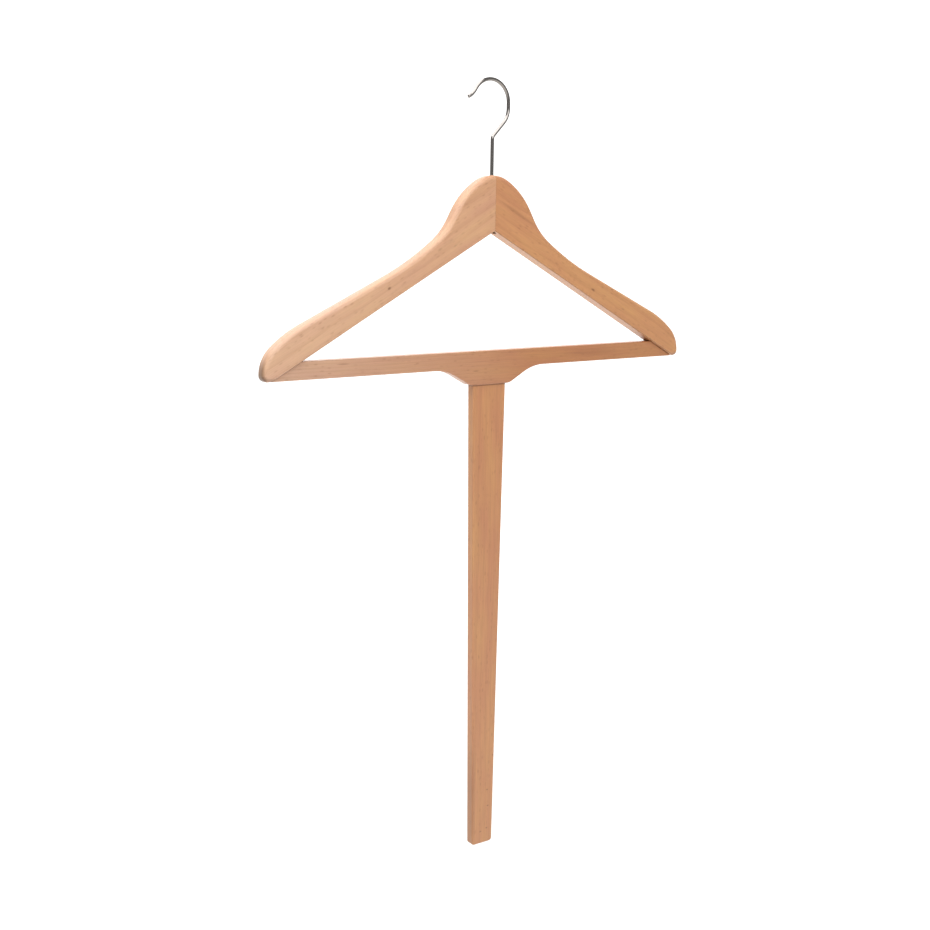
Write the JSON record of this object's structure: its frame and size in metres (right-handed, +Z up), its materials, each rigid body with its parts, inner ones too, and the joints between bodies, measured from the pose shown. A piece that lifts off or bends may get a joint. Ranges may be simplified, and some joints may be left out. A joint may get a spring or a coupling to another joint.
{
  "type": "clothes hanger",
  "caption": "Beech clothes hanger with mitred shoulder arms, a cross bar, a long tapered stem hanging below it and a swivelling chrome wire hook.",
  "frame": {"origin": "the rail seat: on the hook shank's axis, level with the inside of the hook's crown, where a rail carries the hanger", "axes": "+Z up along the shank, +X along the shoulders towards the arm that the hook's open side faces away from, +Y through the thickness towards the flat back"},
  "size_m": [0.445, 0.013, 0.6897],
  "materials": {
    "beech_arm": "clear satin lacquer on sanded beech",
    "beech_bar": "clear satin lacquer on sanded beech",
    "beech_stem": "clear satin lacquer on sanded beech",
    "beech_dowel": "raw beech dowel",
    "chrome_wire": "bright chrome plate on steel wire",
    "plated_steel": "zinc plated"
  },
  "bodies": {
    "hook": {"hook": "chrome_wire", "hook_nut": "plated_steel", "hook_washer": "plated_steel"},
    "hanger": {"left_arm": "beech_arm", "right_arm": "beech_arm", "cross_bar": "beech_bar", "stem": "beech_stem", "head_dowel_upper": "beech_dowel", "head_dowel_lower": "beech_dowel", "left_bar_dowel": "beech_dowel", "right_bar_dowel": "beech_dowel", "stem_dowel_left": "beech_dowel", "stem_dowel_right": "beech_dowel"}
  },
  "joints": [
    {"name": "hook_swivel", "type": "hinge", "parent": "hook", "child": "hanger", "pos_m": [0, 0, -0.09395], "axis": [0, 0, 1], "continuous": true}
  ]
}
